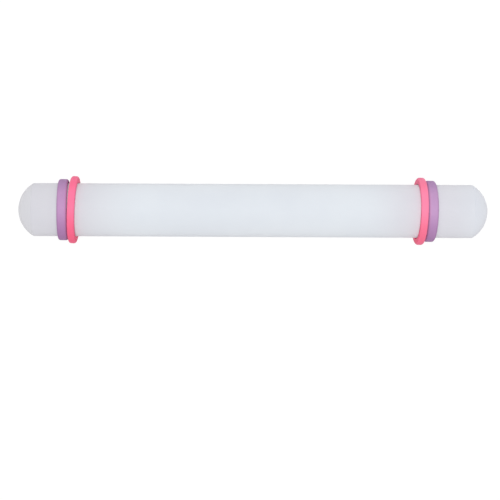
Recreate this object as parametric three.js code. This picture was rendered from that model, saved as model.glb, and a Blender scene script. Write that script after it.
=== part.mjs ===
// Small adjustable rolling pin for fondant and icing.
// A hollow plastic barrel is closed by a domed plug at each end, and two rubber guide rings sit
// on each end of it: the pink pair stands out further and sets the thicker sheet, and the purple
// pair sets the thinner one once the pink pair is taken off.
// Lengths are millimetres and angles degrees. The barrel lies along X, +Z is up, and z = 0 is the
// surface that the pink rings stand on, below the middle of the pin.
import * as THREE from "three";

// The pin is the tube and both domes long, 230 in all.
const barrel = {
  tubeLength: 215,
  diameter: 26,
  wall: 3,
  domeHeight: 7.5,
};

const plug = {
  domeWall: 2.2,
  spigotLength: 12,
  spigotWall: 1.8,
  spigotClearance: 0.1,
  spigotDraft: 0.2,
  leadIn: 0.6,
};

// The thickness of a ring is the thickness of the sheet that it sets. Its play is the least gap
// between the barrel and the ring as it leans there.
const pinkRing = {
  colour: 0xfe7ea5,
  thickness: 3.2,
  width: 3.5,
  play: 0.15,
  outerCorner: 1.1,
  boreCorner: 0.4,
};
const purpleRing = {
  colour: 0xc496c4,
  thickness: 1.6,
  width: 4.85,
  play: 0.25,
  outerCorner: 1.15,
  boreCorner: 0.3,
};

// From each end of the tube to the middle of the purple ring there.
const inset = { left: 14.6, right: 21 };

// How each pair has been pushed on: a lean turns a ring about Y, a yaw turns it about Z.
const pairs = [
  {
    end: "left",
    outward: -1,
    purple: { lean: 2.2, yaw: -0.3 },
    pink: { lean: 0, yaw: -2.3 },
  },
  {
    end: "right",
    outward: 1,
    purple: { lean: 3.2, yaw: -0.6 },
    pink: { lean: 3.8, yaw: -0.9 },
  },
];
const gapBetweenRings = 0.2; // where the two rings of a pair come closest
const fullestCornerShare = 0.9; // of the width and thickness that are there for a corner

const barrelSides = 64;
const ringSides = 32;
const domeSteps = 10;
const innerDomeSteps = 5;
const outerCornerSteps = 4;
const boreCornerSteps = 2;

// Worked out from the sizes above.
const barrelRadius = barrel.diameter / 2;
const tubeBore = barrelRadius - barrel.wall;
const tubeHalf = barrel.tubeLength / 2;
const domeRadius = (barrelRadius ** 2 + barrel.domeHeight ** 2) / (2 * barrel.domeHeight);
const domeCentre = tubeHalf + barrel.domeHeight - domeRadius;

const radians = THREE.MathUtils.degToRad;
const tilt = ({ lean, yaw }) => Math.hypot(radians(lean), radians(yaw));

// Points along a round stretch of an outline, both ends included. x is the distance from the
// axis and y the place along it.
function arc(centreX, centreY, radius, from, to, steps) {
  return Array.from({ length: steps + 1 }, (_, i) => {
    const angle = radians(from + ((to - from) * i) / steps);
    return new THREE.Vector2(centreX + radius * Math.cos(angle), centreY + radius * Math.sin(angle));
  });
}

// Turns an outline about X into a many-sided solid. Its flats lie at the outline's radius, and one
// of them faces straight down.
function turned(outline, sides) {
  const halfStep = Math.PI / sides;
  const points = outline.map((p) => new THREE.Vector2(p.x / Math.cos(halfStep), p.y));
  return new THREE.LatheGeometry(points, sides, halfStep).rotateZ(-Math.PI / 2);
}

function tubeGeometry() {
  const corners = [
    [barrelRadius, -tubeHalf],
    [barrelRadius, tubeHalf],
    [tubeBore, tubeHalf],
    [tubeBore, -tubeHalf],
    [barrelRadius, -tubeHalf],
  ];
  return turned(corners.map(([x, y]) => new THREE.Vector2(x, y)), barrelSides);
}

// A plug's dome seats against the end of the tube, and its spigot fills the first of the bore.
function plugGeometry() {
  const spigotRadius = tubeBore - plug.spigotClearance;
  const spigotBore = spigotRadius - plug.spigotWall;
  const spigotEnd = tubeHalf - plug.spigotLength;
  const tipRadius = spigotRadius - plug.spigotDraft;
  const innerDome = domeRadius - plug.domeWall;
  const innerEdge = THREE.MathUtils.radToDeg(Math.acos(spigotBore / innerDome));
  const outerEdge = THREE.MathUtils.radToDeg(Math.acos(barrelRadius / domeRadius));
  const outline = [
    ...arc(0, domeCentre, innerDome, 90, innerEdge, innerDomeSteps),
    new THREE.Vector2(spigotBore, spigotEnd),
    new THREE.Vector2(tipRadius - plug.leadIn, spigotEnd),
    new THREE.Vector2(tipRadius, spigotEnd + plug.leadIn),
    new THREE.Vector2(spigotRadius, tubeHalf),
    ...arc(0, domeCentre, domeRadius, outerEdge, 90, domeSteps),
  ];
  outline[0].x = 0;
  outline.at(-1).x = 0;
  return turned(outline, barrelSides);
}

// The bore of a ring clears the barrel by its play at the steepest tilt that its pairs have.
function boreRadius(ring, colour) {
  const steepest = Math.max(...pairs.map((pair) => tilt(pair[colour])));
  const halfWidth = ring.width / 2;
  return (barrelRadius + ring.play + halfWidth * Math.sin(steepest)) / Math.cos(steepest);
}

// The rounded corners of a ring's section, as far as its width and thickness leave room for them.
function sectionCorners(ring) {
  const half = ring.width / 2;
  const boreRoom = Math.min(half, ring.thickness / 2);
  const boreCorner = Math.min(ring.boreCorner, fullestCornerShare * boreRoom);
  const outerRoom = Math.min(half, ring.thickness - boreCorner);
  const outerCorner = Math.min(ring.outerCorner, fullestCornerShare * outerRoom);
  return { boreCorner, outerCorner };
}

function ringGeometry(ring, colour) {
  const { boreCorner, outerCorner } = sectionCorners(ring);
  const bore = boreRadius(ring, colour);
  const outer = bore + ring.thickness;
  const half = ring.width / 2;
  const outerX = outer - outerCorner;
  const outerY = half - outerCorner;
  const boreX = bore + boreCorner;
  const boreY = half - boreCorner;
  const outline = [
    ...arc(outerX, -outerY, outerCorner, -90, 0, outerCornerSteps),
    ...arc(outerX, outerY, outerCorner, 0, 90, outerCornerSteps),
    ...arc(boreX, boreY, boreCorner, 90, 180, boreCornerSteps),
    ...arc(boreX, -boreY, boreCorner, 180, 270, boreCornerSteps),
  ];
  outline.push(outline[0].clone());
  return turned(outline, ringSides);
}

// How far from the axis the flat side of a ring ends, where its rounded corner starts.
function sideReach(ring, colour) {
  return boreRadius(ring, colour) + ring.thickness - sectionCorners(ring).outerCorner;
}

// How far apart the facing sides of a pair must be on the axis, so that they stay clear where the
// two rings lean towards each other.
function gapOnAxis({ purple, pink }) {
  const reach = Math.min(sideReach(purpleRing, "purple"), sideReach(pinkRing, "pink"));
  const lean = radians(purple.lean - pink.lean);
  const yaw = radians(purple.yaw - pink.yaw);
  return gapBetweenRings + reach * Math.sin(Math.hypot(lean, yaw));
}

function plastic(colour) {
  return new THREE.MeshStandardMaterial({ color: colour, roughness: 0.45, metalness: 0 });
}

function rubber(colour) {
  return new THREE.MeshStandardMaterial({ color: colour, roughness: 0.6, metalness: 0 });
}

const pin = new THREE.Group();
pin.position.z = boreRadius(pinkRing, "pink") + pinkRing.thickness;

function add(name, geometry, material) {
  const mesh = new THREE.Mesh(geometry, material);
  mesh.name = name;
  pin.add(mesh);
  return mesh;
}

const white = plastic(0xe4e9ef);
const pink = rubber(pinkRing.colour);
const purple = rubber(purpleRing.colour);

add("barrel_tube", tubeGeometry(), white);
for (const pair of pairs) {
  const endPlug = add(`end_plug_${pair.end}`, plugGeometry(), white);
  endPlug.rotation.z = pair.outward < 0 ? Math.PI : 0;

  const purplePlace = tubeHalf - inset[pair.end];
  const apart = purpleRing.width / 2 + gapOnAxis(pair) + pinkRing.width / 2;
  const placed = [
    ["purple", purpleRing, purple, purplePlace],
    ["pink", pinkRing, pink, purplePlace - apart],
  ];
  for (const [colour, ring, material, place] of placed) {
    const mesh = add(`${colour}_ring_${pair.end}`, ringGeometry(ring, colour), material);
    mesh.position.x = pair.outward * place;
    mesh.rotation.set(0, radians(pair[colour].lean), radians(pair[colour].yaw), "ZYX");
  }
}

export default pin;
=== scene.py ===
import math

import bmesh
import bpy
import numpy as np
from mathutils import Matrix, Vector


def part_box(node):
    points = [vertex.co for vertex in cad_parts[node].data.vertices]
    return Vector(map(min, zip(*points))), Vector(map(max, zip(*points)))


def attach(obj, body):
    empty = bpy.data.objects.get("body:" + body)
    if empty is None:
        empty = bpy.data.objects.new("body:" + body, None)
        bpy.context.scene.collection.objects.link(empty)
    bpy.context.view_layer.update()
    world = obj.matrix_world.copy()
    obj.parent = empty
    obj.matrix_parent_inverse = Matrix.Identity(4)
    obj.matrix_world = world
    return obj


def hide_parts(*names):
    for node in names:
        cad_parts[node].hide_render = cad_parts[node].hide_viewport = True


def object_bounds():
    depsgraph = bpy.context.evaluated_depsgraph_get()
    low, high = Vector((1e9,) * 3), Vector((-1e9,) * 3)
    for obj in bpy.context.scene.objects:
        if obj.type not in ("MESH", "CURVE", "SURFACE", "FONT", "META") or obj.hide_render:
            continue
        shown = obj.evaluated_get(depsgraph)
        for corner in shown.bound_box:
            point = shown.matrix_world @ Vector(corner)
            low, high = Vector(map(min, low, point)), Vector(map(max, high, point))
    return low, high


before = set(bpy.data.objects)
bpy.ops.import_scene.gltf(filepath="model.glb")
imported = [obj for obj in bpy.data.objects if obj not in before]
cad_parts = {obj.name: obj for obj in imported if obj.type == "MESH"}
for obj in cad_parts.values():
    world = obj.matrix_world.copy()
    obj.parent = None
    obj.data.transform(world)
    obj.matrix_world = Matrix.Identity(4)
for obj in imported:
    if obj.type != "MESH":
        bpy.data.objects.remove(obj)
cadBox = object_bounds()
print("frame loaded:", ", ".join(sorted(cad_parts)))

mm = 0.001    # lengths are metres


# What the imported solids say

def measureTurned(node):
    # Where a turned piece is, and its sizes. The solids are many-sided with flats at the true
    # radius, so the outer radius is taken from flat to flat and the bore is scaled to match.
    corners = np.array([v.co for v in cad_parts[node].data.vertices], float)
    middle = (corners.min(0) + corners.max(0)) / 2
    # A ring is thinnest along its axis. The tube is longest along its own, which is X.
    axis = np.linalg.svd(corners - corners.mean(0), full_matrices=False)[2][-1]
    if np.ptp(corners[:, 0]) > np.ptp(corners[:, 1]):
        axis = np.array([1.0, 0.0, 0.0])
    axis = axis * np.sign(axis[0])
    local = corners - middle
    along = local.dot(axis)
    radial = np.linalg.norm(local - np.outer(along, axis), axis=1)
    upright = np.array([0.0, 0.0, 1.0]) - axis * axis[2]
    upright = upright / np.linalg.norm(upright)
    outer = np.ptp(local.dot(upright)) / 2
    turn = Vector((0, 0, 1)).rotation_difference(Vector(axis))
    return {
        "place": Matrix.Translation(Vector(middle)) @ turn.to_matrix().to_4x4(),
        "length": float(np.ptp(along)),
        "outer": float(outer),
        "bore": float(radial.min() * outer / radial.max()),
    }


tube = measureTurned("barrel_tube")
tubeLow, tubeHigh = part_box("barrel_tube")
tubeEnd = tubeHigh.x
pinMiddle = (tubeLow + tubeHigh) / 2
pinLength = cadBox[1].x - cadBox[0].x


# Camera straight above, in the photograph's frame of 500 by 500 pixels

shot = {
    "framePixels": 500,
    "leftTip": 18.7,        # pixels from the left edge, for the ends of the axis
    "rightTip": 487.1,
    "pinAcross": 252.87,    # the middle of the pin
    "pinDown": 210.55,
    "roll": 0.27,           # degrees
    "distance": 0.78,       # from the lens to the axis of the pin
    "sensor": 36.0,         # millimetres
    "clipStart": 0.01,
}


def makeCamera(values):
    perPixel = pinLength / (values["rightTip"] - values["leftTip"])
    half = values["framePixels"] / 2
    right = (half - values["pinAcross"]) * perPixel
    up = (values["pinDown"] - half) * perPixel
    turn = Matrix.Rotation(math.radians(values["roll"]), 3, "Z")
    data = bpy.data.cameras.new("camera")
    data.sensor_width = values["sensor"]
    data.lens = values["sensor"] * values["distance"] / (perPixel * values["framePixels"])
    data.clip_start = values["clipStart"]
    camera = bpy.data.objects.new("camera", data)
    camera.location = pinMiddle + turn @ Vector((right, up, 0)) + Vector((0, 0, values["distance"]))
    camera.rotation_euler = (0, 0, math.radians(values["roll"]))
    bpy.context.scene.collection.objects.link(camera)
    bpy.context.scene.camera = camera


makeCamera(shot)
print("camera set")


# Helpers for node trees

def connect(tree, socket, value):
    # Links a socket to another one, or sets it to a plain value.
    if isinstance(value, bpy.types.NodeSocket):
        tree.links.new(value, socket)
    else:
        socket.default_value = value


def addNode(tree, kind, **settings):
    node = tree.nodes.new(kind)
    for key, value in settings.items():
        setattr(node, key, value)
    return node


def feed(tree, node, *values, **named):
    # Fills inputs in their order, and others by name with an underscore for each space.
    for socket, value in zip(node.inputs, values):
        connect(tree, socket, value)
    for name, value in named.items():
        connect(tree, node.inputs[name.replace("_", " ")], value)
    return node


def mathNode(tree, operation, *values):
    node = addNode(tree, "ShaderNodeMath", operation=operation)
    return feed(tree, node, *values).outputs[0]


def vectorNode(tree, operation, *values, **named):
    node = addNode(tree, "ShaderNodeVectorMath", operation=operation)
    return feed(tree, node, *values, **named)


def addInputs(tree, kind, *names):
    for name in names:
        tree.interface.new_socket(name=name, in_out="INPUT", socket_type=kind)


# Turned sections: the tube and the guide rings are each a rounded section swept round an axis

noiseMiddle = 0.5    # the mean of a noise's values
unevenNoise = {"Scale": 45.0, "Detail": 1.0}


def turnedSectionTree():
    tree = bpy.data.node_groups.new("turnedSection", "GeometryNodeTree")
    addInputs(tree, "NodeSocketFloat", "boreRadius", "thickness", "length", "outerCorner",
              "boreCorner", "unevenness", "creaseAngle")
    addInputs(tree, "NodeSocketInt", "sides", "cornerSteps", "cuts", "seed")
    addInputs(tree, "NodeSocketMaterial", "finish")
    tree.interface.new_socket(name="solid", in_out="OUTPUT", socket_type="NodeSocketGeometry")
    sizes = addNode(tree, "NodeGroupInput").outputs
    result = addNode(tree, "NodeGroupOutput")

    path = addNode(tree, "GeometryNodeCurvePrimitiveCircle", mode="RADIUS")
    feed(tree, path, Resolution=sizes["sides"],
         Radius=mathNode(tree, "MULTIPLY_ADD", sizes["thickness"], 0.5, sizes["boreRadius"]))

    # The half of the section with X above zero is the outer one.
    section = addNode(tree, "GeometryNodeCurvePrimitiveQuadrilateral", mode="RECTANGLE")
    feed(tree, section, Width=sizes["thickness"], Height=sizes["length"])
    place = addNode(tree, "ShaderNodeSeparateXYZ")
    connect(tree, place.inputs[0], addNode(tree, "GeometryNodeInputPosition").outputs[0])
    corner = addNode(tree, "GeometryNodeSwitch", input_type="FLOAT")
    feed(tree, corner, Switch=mathNode(tree, "GREATER_THAN", place.outputs["X"], 0.0),
         **{"False": sizes["boreCorner"], "True": sizes["outerCorner"]})
    rounded = addNode(tree, "GeometryNodeFilletCurve", mode="POLY")
    feed(tree, rounded, Curve=section.outputs[0], Count=sizes["cornerSteps"],
         Radius=corner.outputs[0])
    divided = addNode(tree, "GeometryNodeSubdivideCurve")
    feed(tree, divided, Curve=rounded.outputs[0], Cuts=sizes["cuts"])
    sweep = addNode(tree, "GeometryNodeCurveToMesh")
    feed(tree, sweep, Curve=path.outputs[0], Profile_Curve=divided.outputs[0])

    # Soft rubber is never quite flat or round.
    wave = addNode(tree, "ShaderNodeTexNoise", noise_dimensions="4D")
    feed(tree, wave, W=sizes["seed"], **unevenNoise)
    centred = vectorNode(tree, "SUBTRACT", wave.outputs["Color"], (noiseMiddle,) * 3)
    drift = vectorNode(tree, "SCALE", centred.outputs[0], Scale=sizes["unevenness"])
    uneven = addNode(tree, "GeometryNodeSetPosition")
    feed(tree, uneven, Geometry=sweep.outputs[0], Offset=drift.outputs[0])

    # Only edges that are flatter than the crease angle are shaded smooth.
    angle = addNode(tree, "GeometryNodeInputMeshEdgeAngle").outputs[0]
    soft = mathNode(tree, "LESS_THAN", angle, sizes["creaseAngle"])
    faces = addNode(tree, "GeometryNodeSetShadeSmooth", domain="FACE")
    feed(tree, faces, Geometry=uneven.outputs[0])
    edges = addNode(tree, "GeometryNodeSetShadeSmooth", domain="EDGE")
    feed(tree, edges, Geometry=faces.outputs[0], Shade_Smooth=soft)
    whole = addNode(tree, "GeometryNodeRealizeInstances")
    feed(tree, whole, Geometry=edges.outputs[0])
    finish = addNode(tree, "GeometryNodeSetMaterial")
    feed(tree, finish, Geometry=whole.outputs[0], Material=sizes["finish"])
    connect(tree, result.inputs["solid"], finish.outputs[0])
    return tree


def turnedSection(name, tree, place, **values):
    # The tree turns its section about Z, and place puts the result where the piece is.
    piece = bpy.data.objects.new(name, bpy.data.meshes.new(name))
    bpy.context.scene.collection.objects.link(piece)
    modifier = piece.modifiers.new("turnedSection", "NODES")
    modifier.node_group = tree
    for item in tree.interface.items_tree:
        if item.in_out == "INPUT" and item.name in values:
            modifier[item.identifier] = values[item.name]
    bpy.context.view_layer.update()
    evaluated = piece.evaluated_get(bpy.context.evaluated_depsgraph_get())
    mesh = bpy.data.meshes.new_from_object(evaluated)
    piece.modifiers.clear()
    piece.data = mesh
    mesh.name = name
    mesh.transform(place)
    return piece


# Turned outlines: an outline from the axis back to the axis is turned into a closed solid

onAxis = 1e-7       # a point nearer the axis than this lies on it
sharpAngle = 32     # degrees; edges sharper than this stay sharp


def arc(across, along, radius, start, end, steps):
    # Points (distance from the axis, place along it) of a round stretch of an outline.
    angles = [math.radians(start + (end - start) * i / steps) for i in range(steps + 1)]
    return [(across + radius * math.cos(a), along + radius * math.sin(a)) for a in angles]


def ringOfPoints(made, across, along, sides):
    # The points that one point of an outline makes as it turns about Z.
    if across < onAxis:
        return [made.verts.new((0, 0, along))]
    angles = [2 * math.pi * i / sides for i in range(sides)]
    return [made.verts.new((across * math.cos(a), across * math.sin(a), along)) for a in angles]


def turnedOutline(name, outline, sides, place, material):
    mesh = bpy.data.meshes.new(name)
    made = bmesh.new()
    rows = [ringOfPoints(made, across, along, sides) for across, along in outline]
    for lower, upper in zip(rows, rows[1:]):
        for i in range(sides):
            j = (i + 1) % sides
            if len(lower) == 1:
                made.faces.new((lower[0], upper[j], upper[i]))
            elif len(upper) == 1:
                made.faces.new((lower[i], lower[j], upper[0]))
            else:
                made.faces.new((lower[i], lower[j], upper[j], upper[i]))
    bmesh.ops.recalc_face_normals(made, faces=made.faces)
    made.to_mesh(mesh)
    made.free()
    mesh.shade_smooth()
    mesh.set_sharp_from_angle(angle=math.radians(sharpAngle))
    mesh.materials.append(material)
    mesh.transform(place)
    piece = bpy.data.objects.new(name, mesh)
    bpy.context.scene.collection.objects.link(piece)
    return piece


# Shared effects, all from Object coordinates

cloudNoise = {"Detail": 3.0, "Roughness": 0.55}
grainNoise = {"Detail": 2.0}
waveNoise = {"Detail": 1.0}
polishFromGrain = 0.5         # the rest of the uneven polish follows the clouds
noiseSpread = (0.3, 0.7)      # nearly all of a noise's values lie between these


def surfaceGroup():
    # Cloudy colour, fine grain and uneven polish.
    tree = bpy.data.node_groups.new("mouldedSurface", "ShaderNodeTree")
    addInputs(tree, "NodeSocketVector", "place")
    addInputs(tree, "NodeSocketFloat", "cloudScale", "grainScale", "waveScale", "grainShare", "drawn")
    for name in ("cloud", "height", "polish"):
        tree.interface.new_socket(name=name, in_out="OUTPUT", socket_type="NodeSocketFloat")
    given = addNode(tree, "NodeGroupInput").outputs
    result = addNode(tree, "NodeGroupOutput")

    cloud = addNode(tree, "ShaderNodeTexNoise")
    feed(tree, cloud, Vector=given["place"], Scale=given["cloudScale"], **cloudNoise)

    # Drawn plastic has its fine marks stretched along X.
    stretch = addNode(tree, "ShaderNodeCombineXYZ")
    feed(tree, stretch, X=mathNode(tree, "DIVIDE", 1.0, given["drawn"]), Y=1.0, Z=1.0)
    along = vectorNode(tree, "MULTIPLY", given["place"], stretch.outputs[0])
    grain = addNode(tree, "ShaderNodeTexNoise")
    feed(tree, grain, Vector=along.outputs[0], Scale=given["grainScale"], **grainNoise)
    wave = addNode(tree, "ShaderNodeTexNoise")
    feed(tree, wave, Vector=given["place"], Scale=given["waveScale"], **waveNoise)

    waveShare = mathNode(tree, "SUBTRACT", 1.0, given["grainShare"])
    fromWave = mathNode(tree, "MULTIPLY", wave.outputs[0], waveShare)
    height = mathNode(tree, "MULTIPLY_ADD", grain.outputs[0], given["grainShare"], fromWave)
    fromCloud = mathNode(tree, "MULTIPLY", cloud.outputs[0], 1 - polishFromGrain)
    polish = mathNode(tree, "MULTIPLY_ADD", grain.outputs[0], polishFromGrain, fromCloud)
    feed(tree, result, cloud=cloud.outputs[0], height=height, polish=polish)
    return tree


def mixColour(tree, factor, first, second, blend="MIX"):
    node = addNode(tree, "ShaderNodeMix", data_type="RGBA", blend_type=blend)
    colours = [s for s in node.inputs if s.type == "RGBA"]
    for socket, value in zip([node.inputs[0], *colours], [factor, first, second]):
        connect(tree, socket, value)
    return next(s for s in node.outputs if s.type == "RGBA")


def smoothShare(tree, value, start, end):
    # 0 where the value is short of start and 1 where it is past end; start may be the larger.
    node = addNode(tree, "ShaderNodeMapRange", interpolation_type="SMOOTHSTEP")
    feed(tree, node, Value=value, From_Min=start, From_Max=end)
    return node.outputs[0]


def paintedShadeBandGroup():
    # Paints shade: tints a colour by how far a point is from a middle, measured in one direction:
    # wholly at the distance full and not at all at fade. For a band, full is the nearer of the two.
    # For the two sides of a ring it is the further one.
    tree = bpy.data.node_groups.new("paintedShadeBand", "ShaderNodeTree")
    addInputs(tree, "NodeSocketVector", "place", "along")
    addInputs(tree, "NodeSocketColor", "colour", "tint")
    addInputs(tree, "NodeSocketFloat", "middle", "full", "fade")
    tree.interface.new_socket(name="colour", in_out="OUTPUT", socket_type="NodeSocketColor")
    given = addNode(tree, "NodeGroupInput").outputs
    result = addNode(tree, "NodeGroupOutput")
    reach = vectorNode(tree, "DOT_PRODUCT", given["place"], given["along"]).outputs["Value"]
    away = mathNode(tree, "ABSOLUTE", mathNode(tree, "SUBTRACT", reach, given["middle"]))
    share = smoothShare(tree, away, given["fade"], given["full"])
    deeper = mixColour(tree, 1.0, given["colour"], given["tint"], "MULTIPLY")
    feed(tree, result, colour=mixColour(tree, share, given["colour"], deeper))
    return tree


def tinted(look, tint):
    # The same finish in a colour that is multiplied by a tint.
    colours = {name: tuple(c * t for c, t in zip(look[name], tint))
               for name in ("colour", "deepColour")}
    return {**look, **colours}


def newMaterial(name, look, centre):
    material = bpy.data.materials.new(name)
    material.use_nodes = True
    tree = material.node_tree
    shader = tree.nodes["Principled BSDF"]
    where = addNode(tree, "ShaderNodeTexCoord")
    mapping = addNode(tree, "ShaderNodeMapping")
    feed(tree, mapping, Vector=where.outputs["Object"], Location=tuple(-c for c in centre))
    surface = addNode(tree, "ShaderNodeGroup", node_tree=groups["mouldedSurface"])
    feed(tree, surface, place=mapping.outputs[0], **look["surface"])

    paler = smoothShare(tree, surface.outputs["cloud"], *noiseSpread)
    colour = mixColour(tree, paler, (*look["deepColour"], 1), (*look["colour"], 1))
    for values in look.get("paintedShadeBands", []):
        band = addNode(tree, "ShaderNodeGroup", node_tree=groups["paintedShadeBand"])
        feed(tree, band, place=mapping.outputs[0], colour=colour, **values)
        colour = band.outputs["colour"]

    least, most = look["roughness"]
    polish = addNode(tree, "ShaderNodeMapRange")
    feed(tree, polish, Value=surface.outputs["polish"], From_Min=noiseSpread[0],
         From_Max=noiseSpread[1], To_Min=least, To_Max=most)
    bump = addNode(tree, "ShaderNodeBump")
    feed(tree, bump, Strength=1.0, Distance=look["grainDepth"], Height=surface.outputs["height"])
    feed(tree, shader, Base_Color=colour, Roughness=polish.outputs[0], Normal=bump.outputs[0])
    for socket, value in look["shader"].items():
        shader.inputs[socket].default_value = value
    return material


groups = {"mouldedSurface": surfaceGroup(), "paintedShadeBand": paintedShadeBandGroup()}
sectionTree = turnedSectionTree()
print("node trees built")


# Milky white plastic: the tube and its two end plugs

plasticLook = {
    "colour": (0.78, 0.80, 0.84),
    "deepColour": (0.755, 0.775, 0.82),
    "roughness": (0.6, 0.7),
    "grainDepth": 0.01 * mm,
    "surface": {"cloudScale": 38.0, "grainScale": 1400.0, "waveScale": 110.0,
                "grainShare": 0.35, "drawn": 6.0},
    "shader": {"Specular IOR Level": 0.3, "IOR": 1.5, "Diffuse Roughness": 0.5,
               "Sheen Weight": 0.2, "Sheen Roughness": 0.7},
}
# Painted shade: the tube is made a little warmer and darker towards its ends and around its
# rings, for the lamp's fall-off along it and the pink light its rings throw back.
tubeLook = {
    **plasticLook,
    "paintedShadeBands": [
        {"tint": (0.91, 0.865, 0.875, 1), "along": (1, 0, 0), "middle": -tubeEnd,
         "full": 8 * mm, "fade": 58 * mm},
        {"tint": (0.95, 0.902, 0.915, 1), "along": (1, 0, 0), "middle": 86 * mm,
         "full": 4 * mm, "fade": 34 * mm},
    ],
}
barrelSizes = {
    "sides": 192,
    "outerCorner": 0.15 * mm,
    "boreCorner": 0.2 * mm,
    "cornerSteps": 1,
    "cuts": 1,
    "creaseAngle": math.radians(20),
}
# Painted shade: the left plug is made darker and warmer and the right one a little darker, for the
# lamp's fall-off towards the ends.
plugs = {
    "endPlugLeft": {"node": "end_plug_left", "outward": -1,
                    "look": tinted(plasticLook, (0.915, 0.875, 0.872))},
    "endPlugRight": {"node": "end_plug_right", "outward": 1,
                     "look": tinted(plasticLook, (0.977, 0.962, 0.975))},
}
plugSizes = {
    "domeWall": 2.2 * mm,
    "spigotWall": 1.8 * mm,
    "spigotClearance": 0.1 * mm,
    "leadIn": 0.6 * mm,
    "seamRound": 0.15 * mm,
    "sides": barrelSizes["sides"],
    "domeSteps": 40,
    "hollowSteps": 12,
    "seamSteps": 4,
}


def makeBarrel(values):
    plastic = newMaterial("tubePlastic", tubeLook, pinMiddle)
    barrel = turnedSection(
        "barrel", sectionTree, tube["place"], boreRadius=tube["bore"],
        thickness=tube["outer"] - tube["bore"], length=tube["length"], finish=plastic, **values)
    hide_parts("barrel_tube")
    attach(barrel, "roller")


def plugOutline(tip, inner, values):
    # From the inside of the dome round to its tip. Places are distances from the pin's middle.
    rise = tip - tubeEnd
    domeRadius = (tube["outer"] ** 2 + rise ** 2) / (2 * rise)
    domeCentre = tip - domeRadius
    spigot = tube["bore"] - values["spigotClearance"]
    hollow = spigot - values["spigotWall"]
    hollowRadius = domeRadius - values["domeWall"]
    hollowAngle = math.degrees(math.acos(hollow / hollowRadius))

    # The round at the seam touches the dome and the seating face.
    seamRound = values["seamRound"]
    along = tubeEnd + seamRound
    across = math.sqrt((domeRadius - seamRound) ** 2 - (along - domeCentre) ** 2)
    touch = math.degrees(math.atan2(along - domeCentre, across))
    outline = [
        *arc(0, domeCentre, hollowRadius, 90, hollowAngle, values["hollowSteps"]),
        (hollow, inner),
        (spigot - values["leadIn"], inner),
        (spigot, inner + values["leadIn"]),
        (spigot, tubeEnd),
        *arc(across, along, seamRound, -90, touch, values["seamSteps"]),
        *arc(0, domeCentre, domeRadius, touch, 90, values["domeSteps"])[1:],
    ]
    outline[0] = (0, outline[0][1])
    outline[-1] = (0, outline[-1][1])
    return outline


def makePlug(name, plug, values):
    outward = plug["outward"]
    low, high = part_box(plug["node"])
    tip = high.x if outward > 0 else -low.x
    inner = low.x if outward > 0 else -high.x
    turn = Vector((0, 0, 1)).rotation_difference(Vector((outward, 0, 0)))
    place = Matrix.Translation((0, pinMiddle.y, pinMiddle.z)) @ turn.to_matrix().to_4x4()
    plastic = newMaterial(name + "Plastic", plug["look"], pinMiddle)
    piece = turnedOutline(name, plugOutline(tip, inner, values), values["sides"], place, plastic)
    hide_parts(plug["node"])
    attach(piece, "roller")


makeBarrel(barrelSizes)
print("barrel turned")
for name, plug in plugs.items():
    makePlug(name, plug, plugSizes)
print("end plugs turned")


# Guide rings of soft rubber

# Painted shade: the rubber is made deeper in colour towards -Y, a little towards +Y, and on
# the sides of each ring, where less light falls on it and the rings shade each other.
ringReach = 16.5 * mm    # the outer radius of a pink ring
paintedShadeNear = {"along": (0, 1, 0), "middle": -ringReach, "full": 1 * mm, "fade": 19 * mm}
paintedShadeFar = {"along": (0, 1, 0), "middle": ringReach, "full": 2.5 * mm, "fade": 9.5 * mm}
sideShadeBand = 0.2 * mm      # how far the painted shade of the sides reaches onto the rounded corner

rubberLook = {
    "roughness": (0.55, 0.7),
    "grainDepth": 0.02 * mm,
    "surface": {"cloudScale": 110.0, "grainScale": 2400.0, "waveScale": 260.0,
                "grainShare": 0.4, "drawn": 1.0},
    "shader": {"Specular IOR Level": 0.3, "IOR": 1.43},
}
purpleLook = {
    **rubberLook,
    "colour": (0.576, 0.316, 0.566),
    "deepColour": (0.532, 0.287, 0.527),
    "paintedShadeBands": [
        {"tint": (0.77, 0.68, 0.79, 1), **paintedShadeNear},
        {"tint": (0.82, 0.82, 0.88, 1), **paintedShadeFar},
    ],
    "sideShadeTint": (0.84, 0.77, 0.85, 1),
}
pinkLook = {
    **rubberLook,
    "colour": (1.0, 0.228, 0.41),
    "deepColour": (1.0, 0.209, 0.38),
    "shader": {**rubberLook["shader"], "Diffuse Roughness": 0.5},
    "paintedShadeBands": [
        {"tint": (0.95, 0.6, 0.64, 1), **paintedShadeNear},
        {"tint": (0.97, 0.78, 0.79, 1), **paintedShadeFar},
    ],
    "sideShadeTint": (0.96, 0.72, 0.79, 1),
}
# Painted light: the right rings are lighter, cooler copies of the same rubbers, for the stronger
# light on the right of the pin.
purpleLookPaintedLighter = tinted(purpleLook, (1.03, 1.09, 1.06))
pinkLookPaintedLighter = tinted(pinkLook, (1.0, 1.28, 1.15))

purpleRing = {"slot": "purple_rubber", "outerCorner": 1.15 * mm, "boreCorner": 0.3 * mm}
pinkRing = {"slot": "pink_rubber", "outerCorner": 1.1 * mm, "boreCorner": 0.4 * mm}
rings = {
    "purpleRingLeft": {**purpleRing, "node": "purple_ring_left", "look": purpleLook, "seed": 3},
    "pinkRingLeft": {**pinkRing, "node": "pink_ring_left", "look": pinkLook, "seed": 8},
    "purpleRingRight": {**purpleRing, "node": "purple_ring_right", "look": purpleLookPaintedLighter,
                        "seed": 14},
    "pinkRingRight": {**pinkRing, "node": "pink_ring_right", "look": pinkLookPaintedLighter, "seed": 21},
}
ringSizes = {
    "sides": 160,
    "cornerSteps": 7,
    "cuts": 2,
    "unevenness": 0.06 * mm,
    "creaseAngle": math.radians(60),
}


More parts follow.
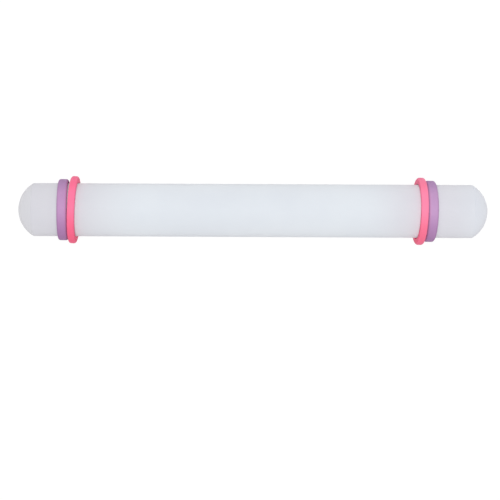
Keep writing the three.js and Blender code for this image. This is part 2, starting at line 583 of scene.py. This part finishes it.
def makeRing(name, ring, values):
    found = measureTurned(ring["node"])
    axis = found["place"].to_3x3() @ Vector((0, 0, 1))
    half = found["length"] / 2
    # Painted shade on the sides of the ring, where the rings shade each other and throw back their
    # colour.
    sides = {"along": tuple(axis), "middle": 0.0, "full": half, "fade": half - sideShadeBand,
             "tint": ring["look"]["sideShadeTint"]}
    look = {**ring["look"], "paintedShadeBands": [*ring["look"]["paintedShadeBands"], sides]}
    rubber = newMaterial(name + "Rubber", look, found["place"].translation)
    piece = turnedSection(
        name, sectionTree, found["place"], boreRadius=found["bore"],
        thickness=found["outer"] - found["bore"], length=found["length"],
        outerCorner=ring["outerCorner"], boreCorner=ring["boreCorner"], seed=ring["seed"],
        finish=rubber, **values)
    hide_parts(ring["node"])
    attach(piece, ring["node"])


for name, ring in rings.items():
    makeRing(name, ring, ringSizes)
print("guide rings turned")


# Floor, world and soft lamp

stageLook = {
    "size": 3.0,
    "diffuse": 0.85,
    "shownDiffuse": 0.1,   # what is left of the shadow in the picture
    "shownWhite": 0.935,
    "fadeFrom": 0.2,       # metres from the origin, where the shown floor turns into plain white
    "fadeTo": 0.5,
    "skyColour": (1.0, 0.93, 0.955),
    "skyStrength": 0.48,
}
lamps = {
    "softbox": {"place": (0.0, 0.02, 1.2), "size": (0.5, 0.8), "power": 9.1,
                "colour": (0.91, 1.0, 0.985)},
}


def glowing(tree, kind, colour, strength):
    return feed(tree, addNode(tree, kind), Color=(*colour, 1), Strength=strength).outputs[0]


def matte(tree, share):
    # A grey that gives back this share of the light.
    node = addNode(tree, "ShaderNodeBsdfDiffuse")
    return feed(tree, node, Color=(share, share, share, 1)).outputs[0]


def joined(tree, kind, *values):
    return feed(tree, addNode(tree, kind), *values).outputs[0]


def seenDirectly(tree):
    # 1 for camera, glossy and transmission rays, 0 for the light that falls on the object.
    path = addNode(tree, "ShaderNodeLightPath")
    either = mathNode(tree, "MAXIMUM", path.outputs["Is Camera Ray"], path.outputs["Is Glossy Ray"])
    return mathNode(tree, "MAXIMUM", either, path.outputs["Is Transmission Ray"])


def makeFloor(values):
    half = values["size"] / 2
    mesh = bpy.data.meshes.new("floor")
    corners = [(-half, -half, 0), (half, -half, 0), (half, half, 0), (-half, half, 0)]
    mesh.from_pydata(corners, [], [(0, 1, 2, 3)])
    floor = bpy.data.objects.new("floor", mesh)
    bpy.context.scene.collection.objects.link(floor)
    material = bpy.data.materials.new("paleFloor")
    material.use_nodes = True
    tree = material.node_tree
    tree.nodes.clear()
    where = addNode(tree, "ShaderNodeTexCoord")
    reach = vectorNode(tree, "LENGTH", where.outputs["Object"]).outputs["Value"]
    fade = smoothShare(tree, reach, values["fadeFrom"], values["fadeTo"])
    near = joined(tree, "ShaderNodeAddShader",
                  glowing(tree, "ShaderNodeEmission", (1, 1, 1), values["shownWhite"]),
                  matte(tree, values["shownDiffuse"]))
    white = glowing(tree, "ShaderNodeEmission", (1, 1, 1), 1.0)
    shown = joined(tree, "ShaderNodeMixShader", fade, near, white)
    both = joined(tree, "ShaderNodeMixShader", seenDirectly(tree),
                  matte(tree, values["diffuse"]), shown)
    feed(tree, addNode(tree, "ShaderNodeOutputMaterial"), Surface=both)
    mesh.materials.append(material)


def makeWorld(values):
    world = bpy.data.worlds.new("studio")
    bpy.context.scene.world = world
    world.use_nodes = True
    tree = world.node_tree
    tree.nodes.clear()
    soft = glowing(tree, "ShaderNodeBackground", values["skyColour"], values["skyStrength"])
    white = glowing(tree, "ShaderNodeBackground", (1, 1, 1), 1.0)
    both = joined(tree, "ShaderNodeMixShader", seenDirectly(tree), soft, white)
    feed(tree, addNode(tree, "ShaderNodeOutputWorld"), Surface=both)


def makeLamp(name, values):
    data = bpy.data.lights.new(name, "AREA")
    data.shape = "RECTANGLE"
    data.size, data.size_y = values["size"]
    data.energy = values["power"]
    data.color = values["colour"]
    lamp = bpy.data.objects.new(name, data)
    lamp.location = values["place"]
    aim = pinMiddle - lamp.location
    lamp.rotation_euler = aim.to_track_quat("-Z", "Y").to_euler()
    lamp.visible_camera = False
    bpy.context.scene.collection.objects.link(lamp)


makeFloor(stageLook)
makeWorld(stageLook)
for name, values in lamps.items():
    makeLamp(name, values)
bpy.context.scene.view_settings.view_transform = "Standard"
print("stage lit")
